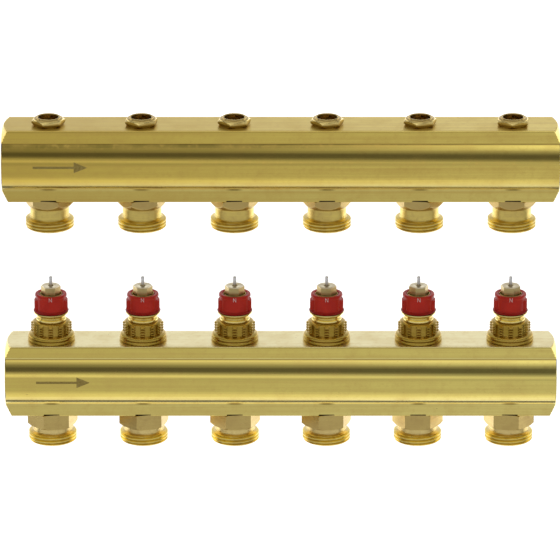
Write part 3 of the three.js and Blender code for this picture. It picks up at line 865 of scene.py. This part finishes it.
def wrap_text(name, text, size, depth, height, at_angle):
    """A raised character wrapped round the ring's wall, standing upright."""
    curve = bpy.data.curves.new(name, "FONT")
    curve.body = text
    curve.size = size * MM
    curve.extrude = depth / 2 * MM
    curve.align_x = "CENTER"
    curve.align_y = "CENTER"
    curve.resolution_u = 4
    holder = bpy.data.objects.new(name, curve)
    bpy.context.scene.collection.objects.link(holder)
    bpy.context.view_layer.update()
    evaluated = holder.evaluated_get(bpy.context.evaluated_depsgraph_get())
    mesh = bpy.data.meshes.new_from_object(evaluated)
    bpy.data.objects.remove(holder)
    mesh_tool = bmesh.new()
    mesh_tool.from_mesh(mesh)
    bmesh.ops.triangulate(mesh_tool, faces=mesh_tool.faces)
    bmesh.ops.subdivide_edges(mesh_tool, edges=mesh_tool.edges, cuts=3, use_grid_fill=True)
    mesh_tool.to_mesh(mesh)
    mesh_tool.free()
    for vertex in mesh.vertices:
        across, up, out = vertex.co
        wall = rim_swell(0, height + up / MM) * MM
        angle = at_angle + TEXT_SLIMNESS * across / wall
        reach = wall + out + 0.05 * MM
        vertex.co = (reach * math.cos(angle), reach * math.sin(angle), height * MM + up)
    mesh.name = name
    return mesh


def scale_meshes():
    """The printed N at the front, and the moulded steps 7 to 1 that follow it round the ring."""
    front = -math.pi / 2
    height, highest = SCALE["height"], SCALE["highest"]
    printed = wrap_text("preset_mark", "N", SCALE["mark_size"], 0.06, height, front)
    step = math.radians(SCALE["step"])
    joined = bmesh.new()
    for count in range(1, highest + 1):
        sign = str(highest + 1 - count)
        digit = wrap_text("digit", sign, SCALE["size"], 0.16, height, front - step * count)
        joined.from_mesh(digit)
        bpy.data.meshes.remove(digit)
    moulded = bpy.data.meshes.new("preset_steps")
    joined.to_mesh(moulded)
    joined.free()
    return printed, moulded


def gland_mesh():
    """The gland hexagon with a flat, chamfered crown."""
    flats = hex_radius(GLAND["flats"])
    hexagon = smaller(flats, cone(50.6, 5.37, -1.6))
    rows = [(43.3, GLAND["bore"]), (43.3, 4.6), (43.45, 4.75)]
    rows += [(height, hexagon) for height in steps(43.5, 50.5, 5)]
    rows += [(height, hexagon) for height in steps(50.6, 50.92, 6)]
    rows += [(50.98, 4.7), (51.0, 4.5), (51.0, 2.1), (50.85, 1.7), (50.6, 1.45), (50.4, GLAND["bore"])]
    return polar_mesh("gland_nut_turned", rows, even_angles(96), closed=True)


def pin_mesh():
    """The pin with a rounded tip, stem, spring collar and plug."""
    bottom = SEAT_HEIGHT + FIT_GAP + PIN_TRAVEL
    top = bottom + PLUG_THICKNESS
    rows = [(bottom, 0), (bottom, 5.7), (bottom + 0.15, 6.05), (bottom + 0.45, 6.2), (top - 0.4, 6.2)]
    rows += [(top, 5.8), (top, 2.1), (top + 0.3, 1.8), (31.0, 1.8), (31.0, 3.6), (31.15, 3.8), (31.85, 3.8)]
    rows += [(32.0, 3.6), (32.0, 1.8), (42.8, 1.8), (43.0, 1.6), (43.0, 1.0), (55.4, 1.0)]
    for angle in steps(0, math.pi / 2, 5)[1:-1]:
        rows.append((55.4 + 0.7 * math.sin(angle), 0.3 + 0.7 * math.cos(angle)))
    rows += [(56.1, 0.25), (56.1, 0)]
    return polar_mesh("valve_pin_ground", rows, even_angles(32))


def spring_mesh():
    """A coil spring about Z, wound evenly from end to end."""
    low, high, radius = SPRING["bottom"], SPRING["top"], SPRING["radius"]
    wire, coils = SPRING["wire"], SPRING["coils"]
    mesh_tool = bmesh.new()
    count = coils * 20
    sides = 8
    rings = []
    for k in range(count + 1):
        share = k / count
        angle = TURN * coils * share
        rise = low + wire + (high - low - 2 * wire) * share
        ring = []
        for turn in even_angles(sides):
            reach, height = radius + wire * math.cos(turn), rise + wire * math.sin(turn)
            point = Vector((reach * math.cos(angle), reach * math.sin(angle), height))
            ring.append(mesh_tool.verts.new(point * MM))
        rings.append(ring)
    for low_ring, high_ring in zip(rings, rings[1:]):
        for k in range(sides):
            after = (k + 1) % sides
            mesh_tool.faces.new((low_ring[k], low_ring[after], high_ring[after], high_ring[k]))
    mesh_tool.faces.new(rings[0])
    mesh_tool.faces.new(rings[-1])
    bmesh.ops.recalc_face_normals(mesh_tool, faces=mesh_tool.faces)
    mesh = bpy.data.meshes.new("return_spring")
    mesh_tool.to_mesh(mesh)
    mesh_tool.free()
    finish_mesh(mesh)
    return mesh


def make_valves():
    """Valve bodies, rings, gland nuts, pins and springs of the return bar."""
    body, ring, gland, pin = valve_mesh(), ring_mesh(), gland_mesh(), pin_mesh()
    printed, moulded = scale_meshes()
    spring = spring_mesh()
    for number in CIRCUITS:
        where = port_place("return_bar", f"valve_body_{number}")
        place(f"valve_body_turned_{number}", body, MATERIALS["valve"], where, ROOT, "valve_body",
              [f"valve_body_{number}"])
        place(f"preset_ring_moulded_{number}", ring, MATERIALS["red"], where, f"preset_{number}",
              "preset_ring", [f"preset_ring_{number}"])
        place(f"preset_mark_{number}", printed, MATERIALS["print"], where, f"preset_{number}",
              "preset_ring")
        place(f"preset_steps_{number}", moulded, MATERIALS["red"], where, f"preset_{number}",
              "preset_ring")
        place(f"gland_nut_turned_{number}", gland, MATERIALS["gland"], where, ROOT, "gland_nut",
              [f"gland_nut_{number}"], GLAND["turns"][number - 1])
        place(f"valve_pin_ground_{number}", pin, MATERIALS["steel"], where, f"pin_{number}", "valve_pin",
              [f"valve_pin_{number}"])
        coil = place(f"return_spring_{number}", spring, MATERIALS["steel"], where, ROOT, "valve_pin")
        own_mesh(coil)


# ---- Studio ------------------------------------------------------------------------------------

def studio_floor():
    """A plain pale floor, well below the manifold, which neither lights it nor shows in it."""
    mesh = bpy.data.meshes.new("floor")
    reach, drop = 9.0, cad_low.z - 0.35
    corners = [(-reach, -reach, drop), (reach, -reach, drop), (reach, reach, drop), (-reach, reach, drop)]
    mesh.from_pydata(corners, [], [(0, 1, 2, 3)])
    floor = bpy.data.objects.new("floor", mesh)
    bpy.context.scene.collection.objects.link(floor)
    floor.visible_glossy = False
    floor.visible_diffuse = False
    nodes = Surface("floor_white")
    nodes.set(Base_Color=(0.9, 0.9, 0.9, 1.0), Roughness=0.9)
    nodes.set(Emission_Color=(1, 1, 1, 1), Emission_Strength=0.75)
    mesh.materials.append(nodes.material)


# Light against elevation in degrees. In front: a bright line at 8 and a dark strip from 25 to 35.
FRONT_LIGHT = [(-90, 1.00), (-75, 1.05), (-60, 0.88), (-45, 0.57), (0, 0.56), (8, 1.03), (20, 0.26),
               (25, 0.12), (35, 0.12), (45, 0.37), (60, 0.96), (75, 0.91), (90, 0.85)]
REAR_LIGHT = [(-90, 1.00), (-40, 1.40), (-10, 1.80), (5, 1.40), (12, 0.90), (18, 0.62), (45, 0.56),
              (90, 0.82)]
LIGHT_SCALE = 2.0


def light_by_elevation(nodes, share, stops):
    """Grey light from a table of (elevation, light), scaled down so that no colour is above 1."""
    node = nodes.add("ShaderNodeValToRGB")
    elements = node.color_ramp.elements
    while len(elements) < len(stops):
        elements.new(0.5)
    for element, (elevation, light) in zip(elements, stops):
        grey = light / LIGHT_SCALE
        element.position = elevation / 180 + 0.5
        element.color = (grey, grey, grey, 1)
    nodes.link(share, node.inputs["Fac"])
    return node.outputs[0]


def studio_world():
    """Light by direction: a front with one dark strip, a bright sheet behind, white to the camera."""
    world = bpy.data.worlds.new("studio")
    bpy.context.scene.world = world
    world.use_nodes = True
    world.node_tree.nodes.clear()
    nodes = Nodes(world.node_tree)
    direction = nodes.split("Generated")
    depth = direction["Y"]
    elevation = nodes.math("ARCSINE", direction["Z"])
    share = nodes.ramp(elevation, -math.pi / 2, math.pi / 2)
    colour = nodes.mix(nodes.ramp(depth, 0.0, 0.5), light_by_elevation(nodes, share, FRONT_LIGHT),
                       light_by_elevation(nodes, share, REAR_LIGHT))
    between = nodes.math("MULTIPLY", nodes.ramp(depth, -0.10, -0.05), nodes.ramp(depth, 0.16, 0.11))
    low_down = nodes.ramp(elevation, math.radians(35), math.radians(15))
    dark_edge = nodes.math("MULTIPLY", between, low_down)
    light = nodes.add("ShaderNodeBackground")
    nodes.link(colour, light.inputs["Color"])
    nodes.link(nodes.ramp(dark_edge, 0.0, 1.0, LIGHT_SCALE, 0.2 * LIGHT_SCALE), light.inputs["Strength"])
    white = nodes.add("ShaderNodeBackground")
    white.inputs["Color"].default_value = (1, 1, 1, 1)
    seen = nodes.add("ShaderNodeLightPath").outputs["Is Camera Ray"]
    choose = nodes.add("ShaderNodeMixShader")
    for source, socket in zip((seen, light.outputs[0], white.outputs[0]), choose.inputs):
        nodes.link(source, socket)
    nodes.link(choose.outputs[0], nodes.add("ShaderNodeOutputWorld").inputs["Surface"])


def rear_strip_light():
    """A wide, low light sheet behind, which only the lower bar's top face mirrors to the front."""
    data = bpy.data.lights.new("rear_strip", "AREA")
    data.shape = "RECTANGLE"
    data.size, data.size_y = 3.0, 0.09
    data.energy = 0.35
    strip = bpy.data.objects.new("rear_strip", data)
    bpy.context.scene.collection.objects.link(strip)
    strip.location = (0, 0.5, 0.145)
    strip.rotation_euler = (-math.pi / 2, 0, 0)
    strip.visible_camera = False


def studio_camera():
    """A long lens, 19 degrees above the horizon, square to the bars."""
    distance, elevation = 2.96, math.radians(19)
    framing = -0.00125, -0.02321
    back = Vector((0, -math.cos(elevation), math.sin(elevation)))
    camera = bpy.data.objects.new("camera", bpy.data.cameras.new("camera"))
    bpy.context.scene.collection.objects.link(camera)
    camera.location = back * distance
    camera.rotation_mode = "QUATERNION"
    camera.rotation_quaternion = (-back).to_track_quat("-Z", "Y")
    camera.data.lens = 350.4
    camera.data.sensor_width = 36
    camera.data.shift_x, camera.data.shift_y = framing
    bpy.context.scene.camera = camera


# ---- Build -------------------------------------------------------------------------------------

bpy.context.scene.view_settings.view_transform = "Standard"
studio_camera()
studio_floor()
studio_world()
rear_strip_light()
make_bar("supply_bar", "shutoff_insert", MATERIALS["supply_bar"], COLLAR["shank"])
make_bar("return_bar", "valve_body", MATERIALS["return_bar"], VALVE["shank"])
for bar in ("supply_bar", "return_bar"):
    flow_mark(bar, -133.0, 1.2)
make_nipples("supply_nipple", "supply_bar", SUPPLY_NIPPLE)
make_nipples("return_nipple", "return_bar", RETURN_NIPPLE)
make_shutoffs()
make_valves()
